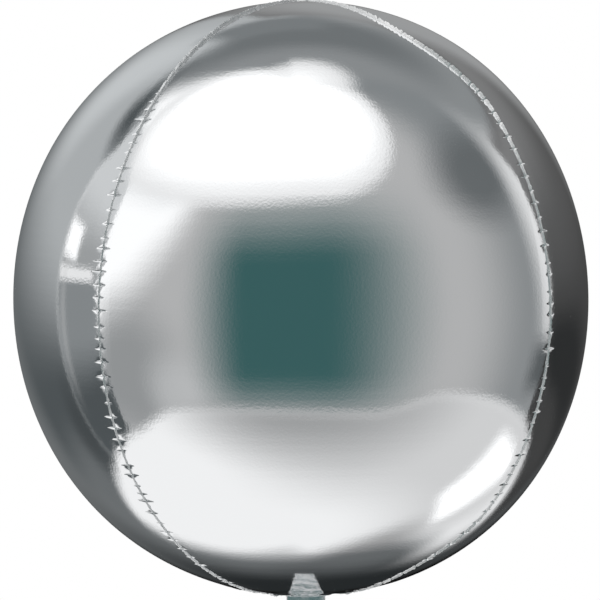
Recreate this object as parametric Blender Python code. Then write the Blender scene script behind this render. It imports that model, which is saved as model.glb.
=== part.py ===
"""Sphere foil balloon: four silver film gores, heat-sealed edge to edge, with a flat filling tail.

Metres, +Z up. The origin is halfway between the top crossing of the seals and the neck, on the
line that joins them. The front gore faces -Y. An azimuth is counted from -Y towards +X, and a
latitude from the equator up.
"""
import bpy
import bmesh
from math import asin, acos, cos, pi, radians, sin
from mathutils import Vector

# Envelope
FILM_HEIGHT = 0.400           # of the inflated film, from pole to pole
FACE_WIDTH = 0.384            # across two opposite gores at the equator
CORNER_FULLNESS = 0.0255      # how far the seams stand out of a round section, as a share
SHOULDER_FULLNESS = 0.0035    # how far the shoulders stand out of an ellipse, as a share
BOW = 0.0035                  # how far the equator lies to -X of the line between the poles
SEAM_LEAN = radians(11.5)     # by which two opposite seams lean off their meridian near the poles
LEAN_START = radians(40)      # latitudes between which those seams leave their meridian
LEAN_END = radians(70)
FILM_THICKNESS = 0.001        # stand-in for a film of a few hundredths of a millimetre
GORE_COUNT = 4

# Heat-sealed edges
SEAL_WIDTH = 0.0016           # how far the sealed edge stands out of the envelope
SEAL_POLE_WIDTH = 0.0012      # the same at the top crossing, where it lies folded over
SEAL_THICKNESS = 0.0008
PUCKER_PITCH = 0.008          # from one pucker of the sealed edge to the next
PUCKER_SWAY = 0.0007          # how far the edge sways to each side
SEAL_GAP = 0.0012             # from the seam's plane to the edge of each gore
SEAL_FOOT_DEPTH = 0.0001      # how far its root reaches in between the gores at the neck's foot
SEAL_NECK_SHARE = 0.95        # of the neck's length, down which its edges are sealed

# Top crossing of the four seals
CROSSING_RADIUS = 0.006
CROSSING_SIDES = 16
SEAT_GAP = 0.0003             # between pieces that touch on the real balloon

# Neck and tail
NECK_WIDTH = 0.027
NECK_DEPTH = 0.0032
NECK_DROP = 0.003             # how far the neck's foot lies below the film's lower pole
NECK_LATITUDE = radians(-78)  # where the gores leave the round and run into the neck
TAIL_LENGTH = 0.110
TAIL_TOP_WIDTH = 0.0262
TAIL_END_WIDTH = 0.020
TAIL_FILM_THICKNESS = 0.0006
INNER_FILM_THICKNESS = 0.0004
GUSSET_DEPTH = 0.004
VALVE_RECESS = 0.012          # the valve ends this far above the tail's mouth

# Mesh resolution
GORE_COLUMNS = 8
BALL_ROWS = 40
NECK_ROWS = 8
FOLD_STEPS = 6

# Sizes that follow
QUARTER = 2 * pi / GORE_COUNT
FILM_HALF_HEIGHT = FILM_HEIGHT / 2
MEAN_RADIUS = FACE_WIDTH / 2 / (1 - CORNER_FULLNESS)
TOP_LATITUDE = acos((CROSSING_RADIUS + SEAT_GAP) / MEAN_RADIUS)
NECK_END = -FILM_HALF_HEIGHT - NECK_DROP
HINGE_HEIGHT = NECK_END - SEAT_GAP - NECK_DEPTH / 2
TAIL_END = HINGE_HEIGHT - TAIL_LENGTH

SILVER = (0.78, 0.80, 0.81, 1)
CLEAR = (0.82, 0.84, 0.85, 1)


def clear_scene():
    for scene_object in list(bpy.data.objects):
        bpy.data.objects.remove(scene_object)


def make_material(name, colour, roughness, metallic):
    material = bpy.data.materials.new(name)
    material.use_nodes = True
    surface = material.node_tree.nodes["Principled BSDF"]
    surface.inputs["Base Color"].default_value = colour
    surface.inputs["Roughness"].default_value = roughness
    surface.inputs["Metallic"].default_value = metallic
    return material


def add_object(name, mesh, material):
    piece = bpy.data.objects.new(name, mesh)
    mesh.materials.append(material)
    bpy.context.collection.objects.link(piece)
    return piece


def add_sheet(name, rows, material, thickness, side):
    """A film through rows of points. side -1 puts its thickness behind the faces, 0 astride."""
    shape = bmesh.new()
    grid = [[shape.verts.new(point) for point in row] for row in rows]
    for upper, lower in zip(grid, grid[1:]):
        for column in range(len(upper) - 1):
            corners = (upper[column], lower[column], lower[column + 1], upper[column + 1])
            shape.faces.new(corners)
    mesh = bpy.data.meshes.new(name)
    shape.to_mesh(mesh)
    shape.free()
    mesh.shade_smooth()
    piece = add_object(name, mesh, material)
    solid = piece.modifiers.new("film thickness", "SOLIDIFY")
    solid.thickness = thickness
    solid.offset = side
    return piece


def blend(start, end, share):
    return start + (end - start) * share


def ease(share):
    """Rises smoothly from 0 to 1."""
    share = max(0, min(1, share))
    return share * share * (3 - 2 * share)


def film_point(azimuth, latitude):
    """A point of the inflated film, on its outer side."""
    shoulder = 1 + SHOULDER_FULLNESS * sin(2 * latitude) ** 2
    corner = -cos(GORE_COUNT * azimuth) * CORNER_FULLNESS * cos(latitude) ** 2
    radius = MEAN_RADIUS * cos(latitude) * shoulder * (1 + corner)
    height = FILM_HALF_HEIGHT * sin(latitude) * shoulder
    bow = BOW * cos(latitude) ** 2
    return Vector((radius * sin(azimuth) - bow, -radius * cos(azimuth), height))


def seam_azimuth(quarter, latitude):
    """The seam to the right of gore number quarter. Every second one leans near the poles."""
    lean = ease((abs(latitude) - LEAN_START) / (LEAN_END - LEAN_START))
    return (quarter + 0.5) * QUARTER - (SEAM_LEAN * lean if quarter % 2 == 0 else 0)


def neck_run(start, before, end, share):
    """The curve by which film leaves the round at start and hangs straight at end."""
    reach = (end - start).length
    leaving = (start - before).normalized() * reach
    hanging = Vector((0, 0, -reach / 2))
    weight_start = 2 * share ** 3 - 3 * share ** 2 + 1
    weight_leaving = share ** 3 - 2 * share ** 2 + share
    weight_end = 3 * share ** 2 - 2 * share ** 3
    weight_hanging = share ** 3 - share ** 2
    return (start * weight_start + leaving * weight_leaving
            + end * weight_end + hanging * weight_hanging)


def gore_ball_point(quarter, across, latitude):
    """across runs from -1 to 1 between the gore's edges, which keep clear of the seals."""
    clear_angle = asin(SEAL_GAP / (MEAN_RADIUS * cos(latitude)))
    left = seam_azimuth(quarter - 1, latitude) + clear_angle
    right = seam_azimuth(quarter, latitude) - clear_angle
    return film_point(blend(left, right, (across + 1) / 2), latitude)


def gore_neck_end(quarter, across):
    """The gore's foot, on one side of the flat neck."""
    half_width = NECK_WIDTH / 2
    half_depth = NECK_DEPTH / 2
    turn = 1 if quarter % GORE_COUNT < 2 else -1
    if quarter % 2 == 0:
        return Vector((turn * across * (half_width - SEAL_GAP), -turn * half_depth, NECK_END))
    return Vector((turn * half_width, turn * across * (half_depth - SEAL_GAP), NECK_END))


def gore_point(quarter, across, run):
    """run goes from 0 at the top crossing to 1 where the neck starts, and to 2 at its foot."""
    if run <= 1:
        return gore_ball_point(quarter, across, blend(TOP_LATITUDE, NECK_LATITUDE, run))
    start = gore_ball_point(quarter, across, NECK_LATITUDE)
    before = gore_ball_point(quarter, across, NECK_LATITUDE + radians(1))
    return neck_run(start, before, gore_neck_end(quarter, across), run - 1)


def make_gore(name, quarter, material):
    columns = [2 * column / GORE_COLUMNS - 1 for column in range(GORE_COLUMNS + 1)]
    runs = [step / BALL_ROWS for step in range(BALL_ROWS)]
    runs += [1 + step / NECK_ROWS for step in range(NECK_ROWS + 1)]
    rows = [[gore_point(quarter, across, run) for across in columns] for run in runs]
    return add_sheet(name, rows, material, FILM_THICKNESS, -1)


def seal_runs(quarter):
    """Places down a seam, half a pucker apart."""
    ball_steps = 2 * round((TOP_LATITUDE - NECK_LATITUDE) * MEAN_RADIUS / PUCKER_PITCH)
    neck_length = (gore_point(quarter, 1, 2) - gore_point(quarter, 1, 1)).length
    neck_steps = 2 * round(neck_length / PUCKER_PITCH)
    runs = [step / ball_steps for step in range(ball_steps)]
    return runs + [1 + SEAL_NECK_SHARE * step / neck_steps for step in range(neck_steps + 1)]


def make_seal(name, quarter, material):
    """The sealed edge: a ribbon midway between two gores, swaying from side to side."""
    runs = seal_runs(quarter)
    near_edges = [gore_point(quarter, 1, run) for run in runs]
    far_edges = [gore_point(quarter + 1, -1, run) for run in runs]
    middles = [(near + far) / 2 for near, far in zip(near_edges, far_edges)]
    directions = [after - before for before, after in zip(middles, middles[2:])]
    directions = [directions[0]] + directions + [Vector((0, 0, -1))]
    rows = []
    for index, middle in enumerate(middles):
        sideways = (far_edges[index] - near_edges[index]).normalized()
        out = directions[index].cross(sideways).normalized()
        near_pole = ease(1 - index * PUCKER_PITCH / MEAN_RADIUS)
        width = blend(SEAL_WIDTH, SEAL_POLE_WIDTH, near_pole)
        depth = blend(FILM_THICKNESS, SEAL_FOOT_DEPTH, ease(runs[index] - 1))
        sway = PUCKER_SWAY * (1 if index % 2 else -1)
        rows.append([middle - out * depth, middle + out * width + sideways * sway])
    return add_sheet(name, rows, material, SEAL_THICKNESS, 0)


def make_crossing(material):
    """The flat button of film where the four seals cross at the top."""
    depth = FILM_THICKNESS + SEAL_POLE_WIDTH
    shape = bmesh.new()
    bmesh.ops.create_cone(
        shape, cap_ends=True, segments=CROSSING_SIDES, depth=depth,
        radius1=CROSSING_RADIUS, radius2=CROSSING_RADIUS)
    top = next(face for face in shape.faces if face.normal.z > 0.9)
    bmesh.ops.bevel(
        shape, geom=list(top.edges), offset=SEAL_POLE_WIDTH / 2, segments=2, profile=0.5,
        affect="EDGES")
    middle = FILM_HALF_HEIGHT + SEAL_POLE_WIDTH - depth / 2
    bmesh.ops.translate(shape, verts=shape.verts, vec=(0, 0, middle))
    mesh = bpy.data.meshes.new("top_crossing")
    shape.to_mesh(mesh)
    shape.free()
    add_object("top_crossing", mesh, material)


def tail_half_width(height):
    """Half the tail's width, which narrows evenly from the neck to its mouth."""
    share = max(0, min(1, (HINGE_HEIGHT - height) / TAIL_LENGTH))
    return blend(TAIL_TOP_WIDTH, TAIL_END_WIDTH, share) / 2


def make_tail_film(name, side, material):
    """A long film of the tail. side is -1 in front and 1 behind. Its top curls in at the fold."""
    radius = NECK_DEPTH / 2
    last_angle = acos(SEAT_GAP / 2 / radius)
    profile = []
    for step in range(FOLD_STEPS + 1):
        angle = last_angle * (1 - step / FOLD_STEPS)
        profile.append((radius * cos(angle), HINGE_HEIGHT + radius * sin(angle)))
    profile.append((radius, TAIL_END))
    rows = []
    for depth, height in profile:
        half_width = tail_half_width(height)
        left = Vector((side * half_width, side * depth, height))
        right = Vector((-side * half_width, side * depth, height))
        rows.append([left, right])
    return add_sheet(name, rows, material, TAIL_FILM_THICKNESS, -1)


def inner_film_depth():
    """How far the middle of an inner film lies from the tail's middle plane."""
    return NECK_DEPTH / 2 - TAIL_FILM_THICKNESS - SEAT_GAP - INNER_FILM_THICKNESS / 2


def make_gusset(name, side, material):
    """The side of the tail: a strip folded inwards between its two long films."""
    depth = inner_film_depth()
    rows = []
    for height in (HINGE_HEIGHT - SEAT_GAP, TAIL_END):
        outer = tail_half_width(height) - SEAT_GAP
        fold = outer - GUSSET_DEPTH
        rows.append([Vector((side * outer, -side * depth, height)),
                     Vector((side * fold, -side * depth, height)),
                     Vector((side * fold, side * depth, height)),
                     Vector((side * outer, side * depth, height))])
    return add_sheet(name, rows, material, INNER_FILM_THICKNESS, 0)


def make_valve_film(name, side, material):
    """One of the two flat films of the self-sealing valve, between the gussets."""
    depth = inner_film_depth()
    rows = []
    for height in (HINGE_HEIGHT - SEAT_GAP, TAIL_END + VALVE_RECESS):
        half_width = tail_half_width(height) - GUSSET_DEPTH - 3 * SEAT_GAP
        rows.append([Vector((side * half_width, side * depth, height)),
                     Vector((-side * half_width, side * depth, height))])
    return add_sheet(name, rows, material, INNER_FILM_THICKNESS, 0)


def build_balloon():
    clear_scene()
    gore_film = make_material("gore film", SILVER, 0.08, 1.0)
    seal_film = make_material("sealed film", SILVER, 0.20, 1.0)
    tail_film = make_material("tail film", SILVER, 0.15, 1.0)
    valve_film = make_material("valve film", CLEAR, 0.25, 0.0)

    for quarter, name in enumerate(("front", "right", "back", "left")):
        make_gore("gore_" + name, quarter, gore_film)
    for quarter, name in enumerate(("front_right", "back_right", "back_left", "front_left")):
        make_seal("seal_" + name, quarter, seal_film)
    make_crossing(seal_film)

    for name, side in (("front", -1), ("back", 1)):
        make_tail_film("tail_" + name + "_film", side, tail_film)
        make_valve_film("valve_" + name + "_film", side, valve_film)
    for name, side in (("left", -1), ("right", 1)):
        make_gusset("tail_" + name + "_gusset", side, tail_film)


build_balloon()
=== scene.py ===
"""Sphere foil balloon: silver film gores with puckered heat-sealed edges, and a flat filling tail.

Metres, +Z up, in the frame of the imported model: the origin is at mid height of the film, the front
gore faces -Y. An azimuth is counted from -Y towards +X, and a latitude from the equator up.
"""
import random
from bisect import bisect
from math import acos, atan2, cos, pi, radians, sin

import bpy
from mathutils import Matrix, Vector, noise


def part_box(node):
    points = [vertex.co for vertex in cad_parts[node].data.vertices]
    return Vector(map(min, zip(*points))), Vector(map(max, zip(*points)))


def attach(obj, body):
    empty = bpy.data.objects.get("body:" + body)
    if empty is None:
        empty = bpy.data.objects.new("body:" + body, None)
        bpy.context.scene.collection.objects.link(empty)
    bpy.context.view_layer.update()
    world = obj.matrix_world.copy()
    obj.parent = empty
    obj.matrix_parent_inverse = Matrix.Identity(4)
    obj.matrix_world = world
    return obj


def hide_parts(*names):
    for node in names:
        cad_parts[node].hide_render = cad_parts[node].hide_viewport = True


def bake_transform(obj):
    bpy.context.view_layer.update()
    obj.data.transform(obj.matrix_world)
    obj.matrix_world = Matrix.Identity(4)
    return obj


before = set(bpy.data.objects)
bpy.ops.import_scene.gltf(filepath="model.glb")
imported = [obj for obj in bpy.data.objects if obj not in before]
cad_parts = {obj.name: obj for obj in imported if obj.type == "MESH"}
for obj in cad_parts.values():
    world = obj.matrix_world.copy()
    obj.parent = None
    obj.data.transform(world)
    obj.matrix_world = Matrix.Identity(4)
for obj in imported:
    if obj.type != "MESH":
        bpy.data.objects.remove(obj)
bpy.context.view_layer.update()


# The camera
# A long lens two metres away, a little above the middle of the balloon and to its left. The
# balloon fills the frame from edge to edge.

CAMERA_DISTANCE = 1.972
CAMERA_AZIMUTH = radians(-7.0)
CAMERA_ELEVATION = radians(3.8)
CAMERA_ROLL = radians(-0.35)
CAMERA_LENS = 175.2
CAMERA_AIM = Vector((-0.0028, 0, -0.0009))

camera_direction = Vector((
    sin(CAMERA_AZIMUTH) * cos(CAMERA_ELEVATION),
    -cos(CAMERA_AZIMUTH) * cos(CAMERA_ELEVATION),
    sin(CAMERA_ELEVATION)))
bpy.ops.object.select_all(action="DESELECT")
bpy.ops.object.camera_add(location=camera_direction * CAMERA_DISTANCE)
camera = bpy.context.object
camera.data.lens = CAMERA_LENS
view_line = (camera.location - CAMERA_AIM).normalized()
camera.rotation_euler = view_line.to_track_quat("Z", "Y").to_euler()
camera.rotation_euler.rotate_axis("Z", CAMERA_ROLL)
bpy.context.scene.camera = camera


# The studio
# A plain white floor below the balloon, and a surround that lights it: a wide soft ceiling, pale
# sides and darker panels. Only the mirror of the film shows the surround, and the background that
# the camera sees is plain white.

FLOOR_HEIGHT = -0.9
FLOOR_SIZE = 6.0
FLOOR_WHITE = (0.9, 0.9, 0.9, 1)
BACKDROP_WHITE = (1, 1, 1, 1)

bpy.ops.object.select_all(action="DESELECT")
bpy.ops.mesh.primitive_plane_add(size=FLOOR_SIZE, location=(0, 0, FLOOR_HEIGHT))
floor = bpy.context.object
floor.name = "studio_floor"
floor.visible_glossy = False
paint = bpy.data.materials.new("floor_white")
paint.use_nodes = True
paint_surface = paint.node_tree.nodes["Principled BSDF"]
paint_surface.inputs["Base Color"].default_value = FLOOR_WHITE
paint_surface.inputs["Roughness"].default_value = 0.8
floor.data.materials.append(paint)

world = bpy.data.worlds.new("studio")
world.use_nodes = True
bpy.context.scene.world = world
world.cycles.sampling_method = "NONE"
tree = world.node_tree
tree.nodes.clear()


def number(operation, *values):
    """A maths node fed with sockets or plain numbers."""
    node = tree.nodes.new("ShaderNodeMath")
    node.operation = operation
    for socket, value in zip(node.inputs, values):
        if isinstance(value, bpy.types.NodeSocket):
            tree.links.new(value, socket)
        else:
            socket.default_value = value
    return node.outputs[0]


def rise(value, start, end):
    """From 0 at start to 1 at end, smoothly. It falls where start is the greater."""
    node = tree.nodes.new("ShaderNodeMapRange")
    node.interpolation_type = "SMOOTHSTEP"
    tree.links.new(value, node.inputs["Value"])
    node.inputs["From Min"].default_value = start
    node.inputs["From Max"].default_value = end
    return node.outputs["Result"]


def both(*shares):
    """The product of some shares: what lies inside all of them."""
    product = shares[0]
    for share in shares[1:]:
        product = number("MULTIPLY", product, share)
    return product


def turned(centre, turn):
    """Degrees to the right of a point and above it, on axes turned by some degrees."""
    right = number("WRAP", number("SUBTRACT", around, centre[0]), -180, 180)
    up = number("SUBTRACT", above, centre[1])
    if not turn:
        return right, up
    along = number("ADD", number("MULTIPLY", right, cos(radians(turn))),
                   number("MULTIPLY", up, sin(radians(turn))))
    aside = number("SUBTRACT", number("MULTIPLY", up, cos(radians(turn))),
                   number("MULTIPLY", right, sin(radians(turn))))
    return along, aside


def panel(centre, half, soft, turn=0):
    """1 inside a panel given by its centre and half size in degrees, 0 outside its soft edges."""
    along, aside = turned(centre, turn)
    return both(rise(number("ABSOLUTE", along), half[0] + soft[0], half[0] - soft[0]),
                rise(number("ABSOLUTE", aside), half[1] + soft[1], half[1] - soft[1]))


def pool(centre, half, soft, turn=0):
    """The same for an oval. soft is a share of its size."""
    along, aside = turned(centre, turn)
    reach = number("SQRT", number("ADD", number("POWER", number("DIVIDE", along, half[0]), 2),
                                  number("POWER", number("DIVIDE", aside, half[1]), 2)))
    return rise(reach, 1 + soft, 1 - soft)


def light_of(display):
    """A screen value from 0 to 255 as light."""
    value = display / 255
    return value / 12.92 if value <= 0.04045 else ((value + 0.055) / 1.055) ** 2.4


def grey(display, cool=0):
    """A grey of a screen value, a little bluer by cool."""
    return (light_of(display - cool), light_of(display), light_of(display + 0.4 * cool), 1)


def wash(share, colour):
    """Lays a colour over the surround, by share."""
    global surround
    node = tree.nodes.new("ShaderNodeMix")
    node.data_type = "RGBA"
    factor, below, above_it = node.inputs[0], node.inputs[6], node.inputs[7]
    tree.links.new(share, factor)
    if isinstance(surround, bpy.types.NodeSocket):
        tree.links.new(surround, below)
    else:
        below.default_value = surround
    above_it.default_value = colour
    surround = node.outputs[2]


facing = tree.nodes.new("ShaderNodeTexCoord").outputs["Generated"]
facing_parts = tree.nodes.new("ShaderNodeSeparateXYZ")
tree.links.new(facing, facing_parts.inputs[0])
east, north, up = facing_parts.outputs
around = number("DEGREES", number("ARCTAN2", east, number("MULTIPLY", north, -1)))
above = number("DEGREES", number("ARCSINE", up))

# Places are in degrees: around from the front towards the right, and above the horizon.
surround = grey(181)
# the left side: white above a slanting line, and shaded towards the floor
slant = number("SUBTRACT", above, number("ADD", around, 77))
wash(both(rise(slant, -20, 13), rise(around, -33, -56), rise(around, -190, -150)), grey(262))
wash(both(pool((-72, -23), (24, 22), 0.6), 0.95), grey(149, 2))
wash(both(pool((-48, -30), (14, 12), 0.7), 0.7), grey(194, 1))
# the right side: darker to the right, a dark corner above, and a bright strip at its far end
wash(both(rise(around, 46, 86), rise(around, 175, 130)), grey(143, 3))
wash(both(rise(around, 40, 100), rise(above, 28, 46)), grey(136, 4))
wash(both(pool((77, 37), (24, 13), 0.6), 0.95), grey(104, 4))
wash(pool((103, 14), (11, 27), 0.7), grey(230))
wash(panel((99, -17), (8, 6), (5, 4)), grey(96, 4))
# a grey band under the ceiling, from the right round the back, and a white one on the left
wash(both(panel((166, 55), (62, 30), (12, 6)), rise(above, 30, 46)), grey(142, 3))
wash(both(pool((172, 55), (46, 12), 0.5), 0.95), grey(115, 4))
wash(panel((-88, 41), (34, 8), (12, 4)), grey(250, 1))
# the back on the left, darker towards the floor
left_back = panel((-152, 3), (34, 46), (2, 4))
tilted = number("ADD", above, number("MULTIPLY", number("ADD", around, 125), 0.2))
wash(left_back, grey(177, 3))
wash(both(pool((-160, 30), (11, 17), 0.7), 0.8), grey(206, 3))
wash(both(left_back, rise(tilted, 14, -20)), grey(85, 5))
wash(both(pool((-152, -36), (22, 11), 0.6), 0.7), grey(120, 3))
wash(both(pool((-124, -30), (8, 10), 0.7), 0.7), grey(70, 4))
wash(pool((-131, 43), (16, 5), 0.8, -24), grey(84, 5))
wash(panel((-180, 46), (13, 7), (4, 3)), grey(126, 4))
# a nearer stretch of it, with a bright panel, a bright strip under that and a faint upright one
near_left = panel((-103, 3), (15, 44), (1, 3))
wash(near_left, grey(208, 2))
wash(both(near_left, rise(above, 30, 12)), grey(160, 2))
wash(both(near_left, rise(above, 6, 4)), grey(138, 4))
wash(both(near_left, rise(above, -9, -26)), grey(84, 5))
wash(panel((-112, 14), (5.5, 4.5), (1.2, 1.5)), grey(268))
wash(panel((-105, 6.5), (13, 1.8), (1, 0.6), 5), grey(235))
wash(both(pool((-114, -6), (2, 14), 0.8), 0.4), grey(190))
# the back on the right, dark
right_back = panel((141, 0), (38, 36), (2, 4))
wash(right_back, grey(74))
wash(both(right_back, rise(above, -4, 14)), grey(90))
wash(both(right_back, rise(above, 10, 32)), grey(126))
wash(pool((165, 21), (13, 17), 0.5), grey(157, 1))
wash(both(right_back, rise(above, 3, -6)), grey(66))
wash(both(right_back, pool((125, -12), (30, 7), 0.5)), grey(47, 1))
wash(both(right_back, rise(above, -16, -26)), grey(66))
# the dark green-blue front, behind the camera
DARK_FRONT = (light_of(58), light_of(95), light_of(95), 1)
wash(both(rise(around, -44, -17), rise(around, 44, 5), rise(above, -51, -21), rise(above, 47, 14)),
     DARK_FRONT)
# the ceiling, whose edge climbs on the right and towards the back
CEILING_EDGE = 36.5
ceiling_edge = number("ADD", CEILING_EDGE, number(
    "ADD", number("MULTIPLY", 40, rise(around, 8, 84)),
    number("MULTIPLY", 42, rise(around, -85, -160))))
over_edge = number("SUBTRACT", above, ceiling_edge)
wash(rise(over_edge, -3, 3), grey(235))
wash(rise(over_edge, 0, 14), grey(274))
# the floor: white on the left, greyer on the right and towards the dark front, with a bright panel
FLOOR_EDGE = -36.5
floor_edge = number("ADD", FLOOR_EDGE, number(
    "SUBTRACT", number("MULTIPLY", 7, rise(around, 20, 46)),
    number("MULTIPLY", 4, rise(around, -52, -84))))
below_edge = number("SUBTRACT", floor_edge, above)
wash(rise(below_edge, -2.5, 2.5), grey(247))
wash(both(rise(below_edge, -2.5, 2.5), rise(around, -60, 30), rise(around, 150, 120),
          rise(above, -84, -54)), grey(212))
wash(both(pool((-3, -32), (42, 20), 0.8), rise(below_edge, -6, 4), 0.92), grey(150, 1))
wash(panel((106, -46), (13, 11), (7, 3)), grey(287))
wash(pool((142, -66), (28, 8), 0.7), grey(156))
# the dark floor at the back
wash(pool((180, -38), (27, 34), 0.3), grey(114, 3))
wash(pool((158, -58), (24, 13), 0.4), grey(104, 3))
wash(pool((171, -37), (22, 20), 0.6), grey(42, 3))
wash(pool((171, -17), (10, 9), 0.6), grey(14))

background = tree.nodes.new("ShaderNodeBackground")
tree.links.new(surround, background.inputs["Color"])
white = tree.nodes.new("ShaderNodeBackground")
white.inputs["Color"].default_value = BACKDROP_WHITE
seen_directly = tree.nodes.new("ShaderNodeLightPath").outputs["Is Camera Ray"]
choice = tree.nodes.new("ShaderNodeMixShader")
tree.links.new(seen_directly, choice.inputs[0])
tree.links.new(background.outputs[0], choice.inputs[1])
tree.links.new(white.outputs[0], choice.inputs[2])
world_output = tree.nodes.new("ShaderNodeOutputWorld")
tree.links.new(choice.outputs[0], world_output.inputs["Surface"])

bpy.context.scene.view_settings.view_transform = "Standard"


# The film gores
# Four panels of silver-coated film, a few hundredths of a millimetre thick, cut like slices of
# peel. Gas pulls them taut. The weld along their edges gathers them into short creases.

GORES = ("gore_front", "gore_right", "gore_back", "gore_left")
SEALS = ("seal_front_right", "seal_back_right", "seal_back_left", "seal_front_left")
CORNER_FULLNESS = 0.0255
SHOULDER_FULLNESS = 0.0035
BOW = 0.0035
SEAM_LEAN = radians(11.5)
LEAN_START = radians(40)
LEAN_END = radians(70)
NECK_LATITUDE = radians(-78)
NECK_WIDTH = 0.027
NECK_DEPTH = 0.0032
NECK_DROP = 0.003
NECK_LENGTH = 0.034
NECK_ZONE = 0.98
CROSSING_COVER = 0.6
FILM_THICKNESS = 0.0001

NECK_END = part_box("gore_front")[0].z
FILM_HALF_HEIGHT = -NECK_END - NECK_DROP
FACE_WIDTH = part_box("gore_back")[1].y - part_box("gore_front")[0].y
MEAN_RADIUS = FACE_WIDTH / 2 / (1 - CORNER_FULLNESS)
CROSSING_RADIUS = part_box("top_crossing")[1].x
QUARTER = pi / 2
TOP_LATITUDE = acos(CROSSING_COVER * CROSSING_RADIUS / MEAN_RADIUS)
SEAM_LENGTH = (TOP_LATITUDE - NECK_LATITUDE) * MEAN_RADIUS

ROW_PITCH = 0.0030
EDGE_COLUMNS = 12
MIDDLE_COLUMNS = 28
EDGE_BAND = 0.009
EDGE_BAND_SHARE = 0.3
EDGE_CROWDING = 1.4


def blend(start, end, share):
    return start + (end - start) * share


def ease(share):
    """Rises smoothly from 0 to 1."""
    share = max(0, min(1, share))
    return share * share * (3 - 2 * share)


def film_point(azimuth, latitude):
    """A point on the outer side of the filled balloon."""
    shoulder = 1 + SHOULDER_FULLNESS * sin(2 * latitude) ** 2
    corner = -cos(4 * azimuth) * CORNER_FULLNESS * cos(latitude) ** 2
    radius = MEAN_RADIUS * cos(latitude) * shoulder * (1 + corner)
    height = FILM_HALF_HEIGHT * sin(latitude) * shoulder
    bow = BOW * cos(latitude) ** 2
    return Vector((radius * sin(azimuth) - bow, -radius * cos(azimuth), height))


def seam_azimuth(quarter, latitude):
    """The seam to the right of a gore. Every second one leans near the poles."""
    lean = ease((abs(latitude) - LEAN_START) / (LEAN_END - LEAN_START))
    return (quarter + 0.5) * QUARTER - (SEAM_LEAN * lean if quarter % 2 == 0 else 0)


def ball_point(quarter, across, latitude):
    """A point of a gore's round part. across goes from -1 at its left seam to 1 at its right."""
    left, right = seam_azimuth(quarter - 1, latitude), seam_azimuth(quarter, latitude)
    return film_point(blend(left, right, (across + 1) / 2), latitude)


def neck_foot(quarter, across):
    """A point of the neck's flattened foot, where the tail hangs."""
    turn = 1 if quarter % 4 < 2 else -1
    if quarter % 2 == 0:
        return Vector((turn * across * NECK_WIDTH / 2, -turn * NECK_DEPTH / 2, NECK_END))
    return Vector((turn * NECK_WIDTH / 2, turn * across * NECK_DEPTH / 2, NECK_END))


def gore_point(quarter, across, run):
    """run goes from 0 at the top crossing to 1 where the neck starts, and to 2 at its foot."""
    if run <= 1:
        return ball_point(quarter, across, blend(TOP_LATITUDE, NECK_LATITUDE, run))
    share = run - 1
    start = ball_point(quarter, across, NECK_LATITUDE)
    before = ball_point(quarter, across, NECK_LATITUDE + radians(1))
    end = neck_foot(quarter, across)
    reach = (end - start).length
    leaving = (start - before).normalized() * reach
    hanging = Vector((0, 0, -reach / 2))
    return (start * (2 * share ** 3 - 3 * share ** 2 + 1)
            + leaving * (share ** 3 - 2 * share ** 2 + share)
            + end * (3 * share ** 2 - 2 * share ** 3)
            + hanging * (share ** 3 - share ** 2))


def outward(point):
    """Which way is out of the balloon at a point of its film."""
    stretch = Vector((point.x / MEAN_RADIUS, point.y / MEAN_RADIUS, point.z / FILM_HALF_HEIGHT))
    if point.z < -NECK_ZONE * FILM_HALF_HEIGHT:
        stretch.z = min(stretch.z, 0)
    return stretch.normalized()


CREASE_START = 0.002
CREASE_PITCH = (0.0060, 0.0112)
CREASE_SIZES = (0.4, 1.0)
CREASE_REACHES = (0.75, 1.3)
CREASE_DEPTH = 0.0010
CREASE_REACH = 0.0068
CREASE_HALF_WIDTH = 0.0009
CREASE_TIP_WIDTH = 0.3
CREASE_SHARE_ABOVE = 0.3
CREASE_GROWS_FROM = 0.11
CREASE_GROWS_OVER = 0.09


def seam_creases(seam):
    """The creases along one seam: place down it, depth, and reach to the left and right."""
    dice = random.Random(seam)
    found = []
    place = CREASE_START
    while place < SEAM_LENGTH + NECK_LENGTH:
        grown = ease((place - CREASE_GROWS_FROM) / CREASE_GROWS_OVER)
        size = dice.uniform(*CREASE_SIZES) * blend(CREASE_SHARE_ABOVE, 1, grown)
        found.append((place, CREASE_DEPTH * size, CREASE_REACH * size * dice.uniform(*CREASE_REACHES),
                      CREASE_REACH * size * dice.uniform(*CREASE_REACHES)))
        place += dice.uniform(*CREASE_PITCH)
    return found


creases = [seam_creases(seam) for seam in range(len(SEALS))]

CRUMPLE_REACH = 0.030
CRUMPLE_PITCH = 0.0013
CRUMPLE_HEIGHT = 0.0022
CREASE_ROWS = (0, 1, -1, 0.4, -0.4)
CLOSEST_ROWS = 0.00012
ROW_GAP_SHARE = 0.45


def row_places(seams, pitch):
    """Where a mesh has its rows down its seams: at an even pitch, and closer over each crease."""
    end = SEAM_LENGTH + NECK_LENGTH
    places = [-1.0, 0.0, SEAM_LENGTH, end, end + 1]
    for part in CREASE_ROWS:
        for seam in seams:
            for crease in creases[seam]:
                place = crease[0] + part * CREASE_HALF_WIDTH
                index = bisect(places, place)
                gap = min(place - places[index - 1], places[index] - place)
                if 0 < place < end and gap > CLOSEST_ROWS:
                    places.insert(index, place)
    place = pitch
    while place < end:
        close_pitch = pitch if place < SEAM_LENGTH - CRUMPLE_REACH else min(pitch, CRUMPLE_PITCH)
        index = bisect(places, place)
        if min(place - places[index - 1], places[index] - place) > ROW_GAP_SHARE * close_pitch:
            places.insert(index, place)
        place += close_pitch
    return places[1:-1]


def run_of(place):
    """The run of gore_point at a place down the seam, in metres."""
    return place / SEAM_LENGTH if place <= SEAM_LENGTH else 1 + (place - SEAM_LENGTH) / NECK_LENGTH


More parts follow.
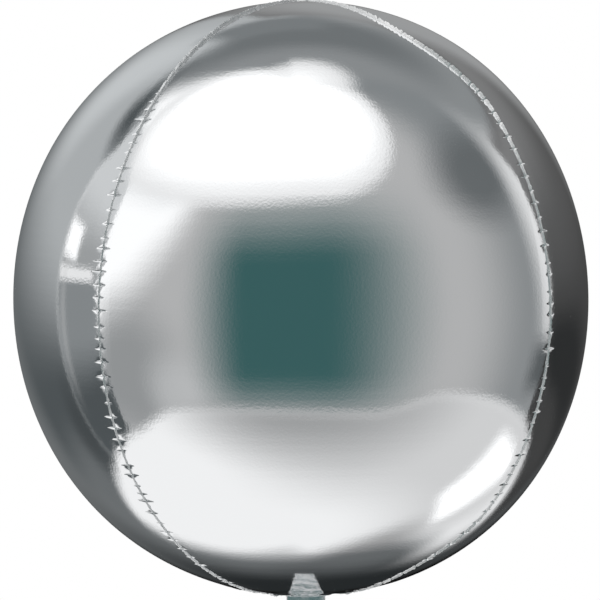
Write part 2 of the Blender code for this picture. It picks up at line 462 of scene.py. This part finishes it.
def pucker(seam, side, place, distance):
    """How far the gathered edge stands out or in, at a distance from the seam."""
    shift = 0
    for crease_place, depth, left_reach, right_reach in creases[seam]:
        off = abs(place - crease_place)
        reach = left_reach if side < 0 else right_reach
        if off < CREASE_HALF_WIDTH and distance < reach:
            taper = 1 - distance / reach
            half_width = CREASE_HALF_WIDTH * blend(CREASE_TIP_WIDTH, 1, taper)
            shift -= depth * max(0, 1 - off / half_width) * taper ** 0.8
    return shift


CRUMPLE_LOBES = (2.6, 40)
CRUMPLE_FOLDS = (4.5, 130)
CRUMPLE_FOLD_SHARE = 1.3
CRUMPLE_GROWS_OVER = 1.2
NECK_SMOOTHING = 0.8
NECK_SMOOTHS_FROM = 0.3


def crumple(quarter, across, place):
    """The gathers that spread from the flat neck up into the round film."""
    near = ease((place - SEAM_LENGTH + CRUMPLE_REACH) / (CRUMPLE_GROWS_OVER * CRUMPLE_REACH))
    down_neck = (place - SEAM_LENGTH) / NECK_LENGTH
    near *= 1 - NECK_SMOOTHING * ease((down_neck - NECK_SMOOTHS_FROM) / (1 - NECK_SMOOTHS_FROM))
    if near == 0:
        return 0
    turn = (quarter + across / 2) * QUARTER
    round_the_neck = Vector((cos(turn), sin(turn), 0))
    size, drop = CRUMPLE_LOBES
    lobes = noise.noise(round_the_neck * size + Vector((0, 0, place * drop)))
    size, drop = CRUMPLE_FOLDS
    folds = abs(noise.noise(round_the_neck * size + Vector((0, 0, place * drop + 7))))
    return CRUMPLE_HEIGHT * near * (lobes - CRUMPLE_FOLD_SHARE * folds)


WAVE_HEIGHT = 0.00006
WAVES_PER_METRE = (26, 26, 15)


def wave(point):
    """The film's faint waviness between its seams."""
    return WAVE_HEIGHT * noise.noise(Vector([a * b for a, b in zip(point, WAVES_PER_METRE)]))


def add_grid(name, columns, rows):
    bpy.ops.object.select_all(action="DESELECT")
    bpy.ops.mesh.primitive_grid_add(x_subdivisions=columns, y_subdivisions=rows, size=1)
    piece = bpy.context.object
    piece.name = name
    return piece


def make_gore(quarter, name):
    """One gore as a grid of rows from seam to seam, closer together along the seams."""
    places = row_places(((quarter - 1) % 4, quarter), ROW_PITCH)
    columns = 2 * EDGE_COLUMNS + MIDDLE_COLUMNS
    rows = len(places) - 1
    gore = add_grid(name + "_film", columns, rows)
    vertices = gore.data.vertices
    for row, place in enumerate(places):
        run = run_of(place)
        first_vertex = (rows - row) * (columns + 1)
        middle = [gore_point(quarter, step / 4, run) for step in range(-4, 5)]
        length = sum((b - a).length for a, b in zip(middle, middle[1:]))
        band = min(EDGE_BAND, EDGE_BAND_SHARE * length)
        for column in range(columns + 1):
            from_edge = min(column, columns - column)
            if from_edge <= EDGE_COLUMNS:
                distance = band * (from_edge / EDGE_COLUMNS) ** EDGE_CROWDING
            else:
                distance = blend(band, length / 2, (from_edge - EDGE_COLUMNS) * 2 / MIDDLE_COLUMNS)
            side = -1 if column * 2 < columns else 1
            across = side * (1 - 2 * distance / length)
            point = gore_point(quarter, across, run)
            seam = (quarter if side > 0 else quarter - 1) % 4
            shift = pucker(seam, -side, place, distance)
            shift += crumple(quarter, across, place) + wave(point)
            vertices[first_vertex + column].co = point + outward(point) * shift
    gore.data.shade_smooth()
    return gore


gore_pieces = [make_gore(quarter, name) for quarter, name in enumerate(GORES)]

SILVER = (0.93, 0.94, 0.95, 1)


def add_dimples(material, size, depth, stretch=(1, 1, 1)):
    """Fine unevenness of the film, size apart and depth deep, as bump."""
    nodes, links = material.node_tree.nodes, material.node_tree.links
    place = nodes.new("ShaderNodeTexCoord")
    mapping = nodes.new("ShaderNodeMapping")
    mapping.inputs["Scale"].default_value = stretch
    grain = nodes.new("ShaderNodeTexNoise")
    grain.inputs["Scale"].default_value = 1 / size
    grain.inputs["Detail"].default_value = 3
    relief = nodes.new("ShaderNodeBump")
    relief.inputs["Distance"].default_value = depth
    links.new(place.outputs["Object"], mapping.inputs["Vector"])
    links.new(mapping.outputs["Vector"], grain.inputs["Vector"])
    links.new(grain.outputs["Fac"], relief.inputs["Height"])
    links.new(relief.outputs["Normal"], nodes["Principled BSDF"].inputs["Normal"])
    return mapping


def vary_roughness(material, mapping, size, low, high):
    """Hazy and clear patches, size apart."""
    nodes, links = material.node_tree.nodes, material.node_tree.links
    haze = nodes.new("ShaderNodeTexNoise")
    haze.inputs["Scale"].default_value = 1 / size
    haze.inputs["Detail"].default_value = 4
    spread = nodes.new("ShaderNodeMapRange")
    spread.inputs["From Min"].default_value = 0.3
    spread.inputs["From Max"].default_value = 0.7
    spread.inputs["To Min"].default_value = low
    spread.inputs["To Max"].default_value = high
    links.new(mapping.outputs["Vector"], haze.inputs["Vector"])
    links.new(haze.outputs["Fac"], spread.inputs["Value"])
    links.new(spread.outputs["Result"], nodes["Principled BSDF"].inputs["Roughness"])


def film_material(name, colour, metallic):
    material = bpy.data.materials.new(name)
    material.use_nodes = True
    surface = material.node_tree.nodes["Principled BSDF"]
    surface.inputs["Base Color"].default_value = colour
    surface.inputs["Metallic"].default_value = metallic
    return material


def give_thickness(piece, thickness, offset):
    """Thickens a film inwards where offset is -1, and to both sides where it is 0."""
    wall = piece.modifiers.new("film thickness", "SOLIDIFY")
    wall.thickness = thickness
    wall.offset = offset
    return wall


silver = film_material("silver_film", SILVER, 1.0)
grain_place = add_dimples(silver, 0.0016, 0.00003)
vary_roughness(silver, grain_place, 0.03, 0.045, 0.085)

for gore, node in zip(gore_pieces, GORES):
    gore.data.materials.append(silver)
    give_thickness(gore, FILM_THICKNESS, -1)
    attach(gore, "envelope")
    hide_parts(node)


# The sealed edges
# Where two gores meet, both films turn outwards and are welded flat against each other: a stiff
# ragged strip, 1 to 2 mm wide, that leans over a little and sways between the creases. Its crinkled
# weld is duller and whiter than the taut film.

SEAL_WIDTH = 0.0011
SEAL_UPPER_WIDTH = 0.0021
SEAL_POLE_WIDTH = 0.0012
SEAL_WIDENS_OVER = 0.08
SEAL_NARROWS_FROM = 0.10
SEAL_NARROWS_OVER = 0.16
SEAL_THICKNESS = 0.00014
SEAL_ROOT = 0.0002
SEAL_LEAN = radians(20)
SEAL_SWAY = 0.00018
SEAL_NOTCH = 0.3
SEAL_FRAY = 0.45
SEAL_FRAYS_PER_METRE = 420
SEAL_ROW_PITCH = 0.0007
SEAL_COLUMNS = 4
SEAL_NECK_SHARE = 0.95
SEAL_RUN_STEP = 0.004
SEAL_CURL = 1.5
SWAY_UNEVENNESS = 0.4
SHARP_EDGE = radians(40)
WELD_WHITE = (0.98, 0.98, 0.98, 1)


def seal_sway(seam, place):
    """Lean of the strip's outer edge: over to one side between two creases, then to the other."""
    marks = [crease[0] for crease in creases[seam]]
    for index, (before, after) in enumerate(zip(marks, marks[1:])):
        if before <= place < after:
            swing = sin(pi * (place - before) / (after - before))
            return swing * (1 if index % 2 else -1) * blend(1, sin(index * 2.4), SWAY_UNEVENNESS)
    return 0


def seal_width(seam, place):
    """The strip's width, which is ragged, and less at the pole and where a crease pinches it."""
    nearest = min(abs(place - crease[0]) for crease in creases[seam])
    notch = 1 - SEAL_NOTCH * max(0, 1 - nearest / CREASE_HALF_WIDTH)
    fray = 1 + SEAL_FRAY * noise.noise(Vector((place * SEAL_FRAYS_PER_METRE, seam * 9, 1)))
    upper = blend(SEAL_POLE_WIDTH, SEAL_UPPER_WIDTH, ease(place / SEAL_WIDENS_OVER))
    narrowed = ease((place - SEAL_NARROWS_FROM) / SEAL_NARROWS_OVER)
    return blend(upper, SEAL_WIDTH, narrowed) * notch * fray


def make_seal(seam, name):
    """The strip along one seam, from the top crossing down to the neck."""
    end = SEAM_LENGTH + NECK_LENGTH * SEAL_NECK_SHARE
    places = [place for place in row_places((seam,), SEAL_ROW_PITCH) if place < end] + [end]
    rows = len(places) - 1
    seal = add_grid(name + "_strip", SEAL_COLUMNS, rows)
    vertices = seal.data.vertices
    for row, place in enumerate(places):
        run = run_of(place)
        foot = gore_point(seam, 1, run)
        below = gore_point(seam, 1, min(run + SEAL_RUN_STEP, 2))
        down = (below - gore_point(seam, 1, max(run - SEAL_RUN_STEP, 0))).normalized()
        out = outward(foot)
        foot += out * (pucker(seam, 1, place, 0) + crumple(seam, 1, place) + wave(foot))
        sideways = out.cross(down).normalized()
        width = seal_width(seam, place)
        sway = SEAL_SWAY * seal_sway(seam, place) + width * SEAL_LEAN
        for column in range(SEAL_COLUMNS + 1):
            rise_share = column / SEAL_COLUMNS
            vertices[(rows - row) * (SEAL_COLUMNS + 1) + column].co = (
                foot + out * (width * rise_share - SEAL_ROOT) + sideways * (sway * rise_share ** SEAL_CURL))
    seal.data.shade_smooth()
    return seal


welded = film_material("welded_film", WELD_WHITE, 0.7)
welded.node_tree.nodes["Principled BSDF"].inputs["Roughness"].default_value = 0.34
add_dimples(welded, 0.0014, 0.00016)

for seam, name in enumerate(SEALS):
    seal = make_seal(seam, name)
    seal.data.materials.append(welded)
    wall = give_thickness(seal, SEAL_THICKNESS, 0)
    bpy.ops.object.modifier_apply(modifier=wall.name)
    seal.data.set_sharp_from_angle(angle=SHARP_EDGE)
    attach(seal, "envelope")
    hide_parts(name)


# The top crossing
# The four seals run together at the top pole. Their ends are pressed flat, one over the other,
# into a small crinkled button of welded film.

CROSSING_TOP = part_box("top_crossing")[1].z
CROSSING_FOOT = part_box("top_crossing")[0].z
CROSSING_RINGS = 12
CROSSING_SIDES = 96
CROSSING_RIM_DROP = 0.0007
CROSSING_CRINKLE = 0.0005
CRINKLES_PER_METRE = 520
RIDGE_SHARPNESS = 6
RIDGE_RIM_DROP_SHARE = 0.2
RIDGE_CRINKLE_SHARE = 0.35
TOP_SKIN = 0.0001

bpy.ops.object.select_all(action="DESELECT")
bpy.ops.mesh.primitive_cylinder_add(
    vertices=CROSSING_SIDES, radius=CROSSING_RADIUS, depth=CROSSING_TOP - CROSSING_FOOT,
    location=(0, 0, (CROSSING_TOP + CROSSING_FOOT) / 2))
crossing = bpy.context.object
crossing.name = "top_crossing_weld"
bpy.ops.object.transform_apply(location=True)
bpy.ops.object.mode_set(mode="EDIT")
bpy.ops.mesh.select_mode(type="FACE")
bpy.ops.mesh.select_all(action="DESELECT")
bpy.ops.object.mode_set(mode="OBJECT")
for face in crossing.data.polygons:
    face.select = face.normal.z > 0.9
bpy.ops.object.mode_set(mode="EDIT")
for ring in range(CROSSING_RINGS - 1):
    bpy.ops.mesh.inset(thickness=CROSSING_RADIUS / CROSSING_RINGS, depth=0)
bpy.ops.mesh.poke()
bpy.ops.object.mode_set(mode="OBJECT")
for vertex in crossing.data.vertices:
    spot = vertex.co
    if spot.z < CROSSING_TOP - TOP_SKIN:
        continue
    off = Vector((spot.x, spot.y)).length / CROSSING_RADIUS
    turn = atan2(spot.x, -spot.y)
    ridge = max(0, cos(len(SEALS) * (turn - QUARTER / 2))) ** RIDGE_SHARPNESS
    crinkle = noise.noise(Vector((spot.x * CRINKLES_PER_METRE, spot.y * CRINKLES_PER_METRE, 3)))
    spot.z -= CROSSING_RIM_DROP * off ** 3 * blend(1, RIDGE_RIM_DROP_SHARE, ridge)
    crinkle_depth = CROSSING_CRINKLE * (1 + crinkle) / 2 * min(1, 3 * off)
    spot.z -= crinkle_depth * blend(1, RIDGE_CRINKLE_SHARE, ridge)
crossing.data.shade_smooth()
crossing.data.materials.append(welded)
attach(crossing, "envelope")
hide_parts("top_crossing")


# The tail
# A flat tube of the same film, through which the balloon is filled. It hangs from the neck, with
# slanting creases across it.

TAIL_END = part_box("tail_front_film")[0].z
HINGE_DROP = 0.0019
TAIL_HINGE = NECK_END - HINGE_DROP
TAIL_TOP_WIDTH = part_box("tail_front_film")[1].x * 2
TAIL_END_WIDTH = 0.020
TAIL_TUCK = 0.004
TAIL_HALF_DEPTH = 0.00135
TAIL_COLUMNS = 40
TAIL_ROWS = 200
TAIL_THICKNESS = 0.00015
TAIL_CREASES = 9
TAIL_CREASE_SLOPES = (-0.9, 0.9)
TAIL_CREASE_DEPTHS = (0.00015, 0.0004)
TAIL_CREASE_HALF_WIDTH = 0.0022
TAIL_EDGE_THINNING = 0.0004
TAIL_RIPPLE = 0.0002
TAIL_LEAST_DEPTH = 0.0007
SLACK_FROM_HINGE = 0.012
SLACK_WAVE = 0.0016
SLACK_WAVES_PER_METRE = (75, 60)
SLACK_FOLD = 0.0009
SLACK_FOLDS_PER_METRE = (160, 120)
SLACK_CRINKLE = 0.0003
SLACK_CRINKLES_PER_METRE = (420, 330)


def tail_half_width(height):
    """Half the tail's width, which narrows from its hinge down to its mouth."""
    share = max(0, min(1, (TAIL_HINGE - height) / (TAIL_HINGE - TAIL_END)))
    return blend(TAIL_TOP_WIDTH, TAIL_END_WIDTH, share) / 2


def relief(spot, per_metre, layer):
    """Noise at a spot of the tail, of so many waves a metre across it and down it."""
    return noise.noise(Vector((spot.x * per_metre[0], layer, spot.z * per_metre[1])))


def slackness(spot):
    """How far the empty tail stands to the front or the back at a spot across and down it."""
    free = ease((TAIL_HINGE - spot.z) / SLACK_FROM_HINGE)
    waves = relief(spot, SLACK_WAVES_PER_METRE, 2)
    folds = 0.5 - 2 * abs(relief(spot, SLACK_FOLDS_PER_METRE, 5))
    crinkles = relief(spot, SLACK_CRINKLES_PER_METRE, 8)
    return free * (SLACK_WAVE * waves + SLACK_FOLD * folds + SLACK_CRINKLE * crinkles)


def tail_creases(side):
    """Slack film folds on slanting lines: the height and slope of each, and its depth."""
    dice = random.Random(40 + side)
    return [(blend(TAIL_HINGE, TAIL_END, (index + dice.random()) / TAIL_CREASES),
             dice.uniform(*TAIL_CREASE_SLOPES), dice.uniform(*TAIL_CREASE_DEPTHS))
            for index in range(TAIL_CREASES)]


def make_tail_film(name, side):
    """The front film where side is -1, or the back film where it is 1."""
    folds = tail_creases(side)
    film = add_grid(name + "_skin", TAIL_COLUMNS, TAIL_ROWS)
    vertices = film.data.vertices
    for row in range(TAIL_ROWS + 1):
        height = blend(TAIL_END, NECK_END + TAIL_TUCK, row / TAIL_ROWS)
        half_width = tail_half_width(height)
        for column in range(TAIL_COLUMNS + 1):
            across = 2 * column / TAIL_COLUMNS - 1
            depth = TAIL_HALF_DEPTH - TAIL_EDGE_THINNING * across ** 4
            depth += TAIL_RIPPLE * noise.noise(Vector((across * 3, side * 5, height * 60)))
            for fold_height, slope, fold_depth in folds:
                off = abs(height - fold_height - slope * across * half_width) / TAIL_CREASE_HALF_WIDTH
                depth -= fold_depth * max(0, 1 - off) * (1 - 0.5 * across * across)
            spot = Vector((-side * across * half_width, side * max(depth, TAIL_LEAST_DEPTH), height))
            spot.y += slackness(spot)
            vertices[row * (TAIL_COLUMNS + 1) + column].co = spot
    film.data.shade_smooth()
    return film


def hang_on_neck(piece, node):
    """Bakes a film of the tail into place where it hangs below the neck, and hides its part of the model.
    """
    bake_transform(piece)
    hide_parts(node)


slack = film_material("slack_film", SILVER, 0.8)
slack_place = add_dimples(slack, 0.004, 0.00025, stretch=(1, 1, 0.5))
vary_roughness(slack, slack_place, 0.012, 0.10, 0.24)

for name, side in (("tail_front_film", -1), ("tail_back_film", 1)):
    film = make_tail_film(name, side)
    film.data.materials.append(slack)
    give_thickness(film, TAIL_THICKNESS, -1)
    hang_on_neck(film, name)


# The gussets
# At each side of the tail a strip of film is folded inwards between the two long films, and
# welded to both along its edges, so that the flat tail can open for the filling nozzle.

GUSSET_DEPTH = 0.004
GUSSET_EDGE_DEPTH = 0.00085
GUSSET_INSET = 0.0003
GUSSET_COLUMNS = 16
GUSSET_ROWS = 90
INNER_GAP = 0.0003
INNER_TOP = TAIL_HINGE - INNER_GAP


def make_gusset(name, side):
    """A strip folded inwards at the left edge where side is -1, or the right one where it is 1."""
    gusset = add_grid(name + "_fold", GUSSET_COLUMNS, GUSSET_ROWS)
    vertices = gusset.data.vertices
    for row in range(GUSSET_ROWS + 1):
        height = blend(TAIL_END, INNER_TOP, row / GUSSET_ROWS)
        for column in range(GUSSET_COLUMNS + 1):
            across = 2 * column / GUSSET_COLUMNS - 1
            inwards = GUSSET_DEPTH * (1 - abs(across) ** 1.5)
            spot = Vector((side * (tail_half_width(height) - GUSSET_INSET - inwards),
                           side * GUSSET_EDGE_DEPTH * sin(across * pi / 2), height))
            spot.y += slackness(spot)
            vertices[row * (GUSSET_COLUMNS + 1) + column].co = spot
    gusset.data.shade_smooth()
    return gusset


for name, side in (("tail_left_gusset", -1), ("tail_right_gusset", 1)):
    gusset = make_gusset(name, side)
    gusset.data.materials.append(slack)
    give_thickness(gusset, TAIL_THICKNESS, 0)
    hang_on_neck(gusset, name)


# The valve
# Two soft clear films lie flat inside the tail and cling together when the gas presses on them.
# They end a little above the tail's mouth.

VALVE_RECESS = 0.012
VALVE_CLEARANCE = 0.0009
VALVE_DEPTH = 0.0004
VALVE_RIPPLE = 0.00012
VALVE_COLUMNS = 14
VALVE_ROWS = 90
CLEAR_FILM = (0.90, 0.92, 0.93, 1)


def make_valve_film(name, side):
    """One of the two films between the gussets, to the front where side is -1."""
    film = add_grid(name + "_sheet", VALVE_COLUMNS, VALVE_ROWS)
    vertices = film.data.vertices
    for row in range(VALVE_ROWS + 1):
        height = blend(TAIL_END + VALVE_RECESS, INNER_TOP, row / VALVE_ROWS)
        half_width = tail_half_width(height) - GUSSET_DEPTH - VALVE_CLEARANCE
        for column in range(VALVE_COLUMNS + 1):
            across = 2 * column / VALVE_COLUMNS - 1
            ripple = VALVE_RIPPLE * noise.noise(Vector((across * 2, side * 9, height * 80)))
            spot = Vector((-side * across * half_width, side * (VALVE_DEPTH + ripple), height))
            spot.y += slackness(spot)
            vertices[row * (VALVE_COLUMNS + 1) + column].co = spot
    film.data.shade_smooth()
    return film


clear = bpy.data.materials.new("clear_valve_film")
clear.use_nodes = True
clear_surface = clear.node_tree.nodes["Principled BSDF"]
clear_surface.inputs["Base Color"].default_value = CLEAR_FILM
clear_surface.inputs["Transmission Weight"].default_value = 0.75
clear_surface.inputs["IOR"].default_value = 1.5
clear_place = add_dimples(clear, 0.005, 0.0001)
vary_roughness(clear, clear_place, 0.01, 0.12, 0.3)

for name, side in (("valve_front_film", -1), ("valve_back_film", 1)):
    film = make_valve_film(name, side)
    film.data.materials.append(clear)
    give_thickness(film, TAIL_THICKNESS, 0)
    hang_on_neck(film, name)
